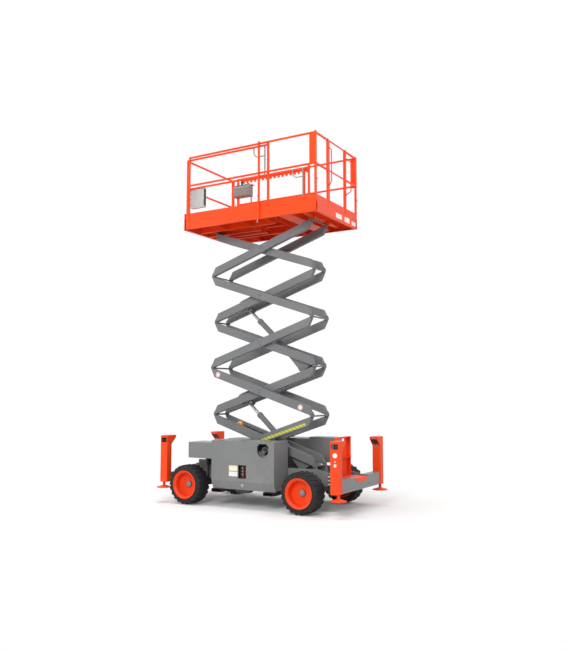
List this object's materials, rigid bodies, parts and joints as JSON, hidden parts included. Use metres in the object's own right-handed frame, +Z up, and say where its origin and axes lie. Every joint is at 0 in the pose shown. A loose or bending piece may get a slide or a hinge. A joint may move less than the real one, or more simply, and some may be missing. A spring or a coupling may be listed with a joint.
{
  "type": "rough terrain scissor lift",
  "caption": "Self-propelled rough terrain scissor lift with a folding arm stack, outriggers, side power modules and a railed platform with a sliding deck extension.",
  "frame": {"origin": "on the ground, in the middle of the machine's footprint", "axes": "+X to the front, where the deck extension slides out; +Y to the machine's left; +Z up"},
  "size_m": [3.6019, 1.83, 6.044],
  "materials": {
    "orange_paint": "satin",
    "arm_paint": "satin",
    "grey_paint": "satin",
    "tyre": "matte",
    "rod_chrome": "polished",
    "black_paint": "satin",
    "grey_plastic": "matte",
    "hose_rubber": "matte",
    "amber_lens": "satin",
    "deck_plate": "satin"
  },
  "bodies": {
    "chassis": {"main_frame": "grey_paint", "slide_tracks": "grey_paint", "left_module": "grey_paint", "right_module": "grey_paint", "engine": "black_paint", "tank": "grey_paint", "front_boxes": "grey_paint", "axle_locks": "black_paint", "fork_pockets": "black_paint", "rear_step": "grey_paint", "step_tread": "orange_paint", "ladder": "orange_paint", "ground_controls": "grey_plastic", "jack_housings": "orange_paint", "front_beam": "orange_paint", "front_axle": "black_paint", "rear_axle": "black_paint"},
    "left_cover": {"left_cover": "grey_paint"},
    "right_cover": {"right_cover": "grey_paint"},
    "left_knuckle": {"left_steering_knuckle": "black_paint"},
    "right_knuckle": {"right_steering_knuckle": "black_paint"},
    "front_left_wheel": {"front_left_tyre": "tyre", "front_left_rim": "orange_paint"},
    "front_left_jack": {"front_left_jack_leg": "orange_paint"},
    "front_right_wheel": {"front_right_tyre": "tyre", "front_right_rim": "orange_paint"},
    "front_right_jack": {"front_right_jack_leg": "orange_paint"},
    "rear_left_wheel": {"rear_left_tyre": "tyre", "rear_left_rim": "orange_paint"},
    "rear_left_jack": {"rear_left_jack_leg": "orange_paint"},
    "rear_right_wheel": {"rear_right_tyre": "tyre", "rear_right_rim": "orange_paint"},
    "rear_right_jack": {"rear_right_jack_leg": "orange_paint"},
    "outer_frame_1": {"outer_arms_1": "arm_paint"},
    "inner_frame_1": {"inner_arms_1": "arm_paint", "hoses": "hose_rubber", "lamp": "amber_lens"},
    "outer_frame_2": {"outer_arms_2": "arm_paint"},
    "inner_frame_2": {"inner_arms_2": "arm_paint"},
    "outer_frame_3": {"outer_arms_3": "arm_paint"},
    "inner_frame_3": {"inner_arms_3": "arm_paint"},
    "outer_frame_4": {"outer_arms_4": "arm_paint"},
    "inner_frame_4": {"inner_arms_4": "arm_paint"},
    "outer_frame_5": {"outer_arms_5": "arm_paint"},
    "inner_frame_5": {"inner_arms_5": "arm_paint"},
    "lower_barrel": {"lower_cylinder_barrel": "arm_paint"},
    "lower_rod": {"lower_cylinder_rod": "rod_chrome"},
    "upper_barrel": {"upper_cylinder_barrel": "arm_paint"},
    "upper_rod": {"upper_cylinder_rod": "rod_chrome"},
    "platform": {"platform_frame": "orange_paint", "guardrails": "orange_paint"},
    "gate": {"gate": "orange_paint"},
    "extension": {"extension_deck": "deck_plate", "extension_rails": "orange_paint", "extension_handles": "grey_paint", "control_box": "grey_plastic", "control_lever": "black_paint", "manual_box": "grey_plastic"}
  },
  "joints": [
    {"name": "lift", "type": "hinge", "parent": "chassis", "child": "inner_frame_1", "pos_m": [-0.955, 0, 0.679], "axis": [0, -1, 0], "range_deg": [-18.4, 35]},
    {"name": "pivot_1", "type": "hinge", "parent": "inner_frame_1", "child": "outer_frame_1", "pos_m": [0.0396, 0, 1.08692], "axis": [0, 1, 0], "range_deg": [-36.8, 70]},
    {"name": "outer_fold_1", "type": "hinge", "parent": "outer_frame_1", "child": "outer_frame_2", "pos_m": [-0.955, 0, 1.49483], "axis": [0, -1, 0], "range_deg": [-36.8, 70]},
    {"name": "outer_fold_2", "type": "hinge", "parent": "outer_frame_2", "child": "outer_frame_3", "pos_m": [1.0342, 0, 2.31066], "axis": [0, 1, 0], "range_deg": [-36.8, 70]},
    {"name": "outer_fold_3", "type": "hinge", "parent": "outer_frame_3", "child": "outer_frame_4", "pos_m": [-0.955, 0, 3.12649], "axis": [0, -1, 0], "range_deg": [-36.8, 70]},
    {"name": "outer_fold_4", "type": "hinge", "parent": "outer_frame_4", "child": "outer_frame_5", "pos_m": [1.0342, 0, 3.94232], "axis": [0, 1, 0], "range_deg": [-36.8, 70]},
    {"name": "pivot_2", "type": "hinge", "parent": "outer_frame_2", "child": "inner_frame_2", "pos_m": [0.0396, 0, 1.90274], "axis": [0, 1, 0], "range_deg": [-36.8, 70]},
    {"name": "pivot_3", "type": "hinge", "parent": "outer_frame_3", "child": "inner_frame_3", "pos_m": [0.0396, 0, 2.71857], "axis": [0, -1, 0], "range_deg": [-36.8, 70]},
    {"name": "pivot_4", "type": "hinge", "parent": "outer_frame_4", "child": "inner_frame_4", "pos_m": [0.0396, 0, 3.5344], "axis": [0, 1, 0], "range_deg": [-36.8, 70]},
    {"name": "pivot_5", "type": "hinge", "parent": "outer_frame_5", "child": "inner_frame_5", "pos_m": [0.0396, 0, 4.35023], "axis": [0, -1, 0], "range_deg": [-36.8, 70]},
    {"name": "platform_level", "type": "hinge", "parent": "outer_frame_5", "child": "platform", "pos_m": [-0.955, 0, 4.75814], "axis": [0, -1, 0], "range_deg": [-18.4, 35]},
    {"name": "lower_barrel_swing", "type": "hinge", "parent": "inner_frame_1", "child": "lower_barrel", "pos_m": [-0.67825, 0, 0.65592], "axis": [0, -1, 0], "range_deg": [-0.55, 1.05]},
    {"name": "lower_rod_slide", "type": "slide", "parent": "lower_barrel", "child": "lower_rod", "axis": [0.7312, 0, 0.6822], "range_m": [-0.2529, 0.481]},
    {"name": "upper_barrel_swing", "type": "hinge", "parent": "inner_frame_3", "child": "upper_barrel", "pos_m": [-0.67825, 0, 2.28758], "axis": [0, -1, 0], "range_deg": [-0.55, 1.05]},
    {"name": "upper_rod_slide", "type": "slide", "parent": "upper_barrel", "child": "upper_rod", "axis": [0.7312, 0, 0.6822], "range_m": [-0.2529, 0.481]},
    {"name": "left_steer", "type": "hinge", "parent": "chassis", "child": "left_knuckle", "pos_m": [1.176, 0.62, 0.33], "axis": [0, 0, 1], "range_deg": [-35, 35]},
    {"name": "right_steer", "type": "hinge", "parent": "chassis", "child": "right_knuckle", "pos_m": [1.176, -0.62, 0.33], "axis": [0, 0, 1], "range_deg": [-35, 35]},
    {"name": "front_left_spin", "type": "hinge", "parent": "left_knuckle", "child": "front_left_wheel", "pos_m": [1.176, 0.725, 0.33], "axis": [0, 1, 0], "continuous": true},
    {"name": "rear_left_spin", "type": "hinge", "parent": "chassis", "child": "rear_left_wheel", "pos_m": [-1.031, 0.725, 0.33], "axis": [0, 1, 0], "continuous": true},
    {"name": "front_left_jack_slide", "type": "slide", "parent": "chassis", "child": "front_left_jack", "axis": [0, 0, -1], "range_m": [0, 0.33]},
    {"name": "rear_left_jack_slide", "type": "slide", "parent": "chassis", "child": "rear_left_jack", "axis": [0, 0, -1], "range_m": [0, 0.33]},
    {"name": "left_cover_hinge", "type": "hinge", "parent": "chassis", "child": "left_cover", "pos_m": [0.055, 0.7735, 1.0945], "axis": [1, 0, 0], "range_deg": [0, 85]},
    {"name": "front_right_spin", "type": "hinge", "parent": "right_knuckle", "child": "front_right_wheel", "pos_m": [1.176, -0.725, 0.33], "axis": [0, 1, 0], "continuous": true},
    {"name": "rear_right_spin", "type": "hinge", "parent": "chassis", "child": "rear_right_wheel", "pos_m": [-1.031, -0.725, 0.33], "axis": [0, 1, 0], "continuous": true},
    {"name": "front_right_jack_slide", "type": "slide", "parent": "chassis", "child": "front_right_jack", "axis": [0, 0, -1], "range_m": [0, 0.33]},
    {"name": "rear_right_jack_slide", "type": "slide", "parent": "chassis", "child": "rear_right_jack", "axis": [0, 0, -1], "range_m": [0, 0.33]},
    {"name": "right_cover_hinge", "type": "hinge", "parent": "chassis", "child": "right_cover", "pos_m": [0.055, -0.7735, 1.0945], "axis": [-1, 0, 0], "range_deg": [0, 85]},
    {"name": "gate_hinge", "type": "hinge", "parent": "platform", "child": "gate", "pos_m": [-1.293, 0.298, 5.5], "axis": [0, 0, 1], "range_deg": [0, 90]},
    {"name": "extension_slide", "type": "slide", "parent": "platform", "child": "extension", "axis": [1, 0, 0], "range_m": [0, 0.9]}
  ],
  "couplings": [
    {"joint": "pivot_1", "follows": "lift", "ratio": 2},
    {"joint": "outer_fold_1", "follows": "lift", "ratio": 2},
    {"joint": "outer_fold_2", "follows": "lift", "ratio": 2},
    {"joint": "outer_fold_3", "follows": "lift", "ratio": 2},
    {"joint": "outer_fold_4", "follows": "lift", "ratio": 2},
    {"joint": "pivot_2", "follows": "lift", "ratio": 2},
    {"joint": "pivot_3", "follows": "lift", "ratio": 2},
    {"joint": "pivot_4", "follows": "lift", "ratio": 2},
    {"joint": "pivot_5", "follows": "lift", "ratio": 2},
    {"joint": "platform_level", "follows": "lift", "ratio": 1},
    {"joint": "lower_barrel_swing", "follows": "lift", "ratio": 0.03},
    {"joint": "lower_rod_slide", "follows": "lift", "m_per_rad": 0.787},
    {"joint": "upper_barrel_swing", "follows": "lift", "ratio": 0.03},
    {"joint": "upper_rod_slide", "follows": "lift", "m_per_rad": 0.787},
    {"joint": "right_steer", "follows": "left_steer", "ratio": 1}
  ]
}
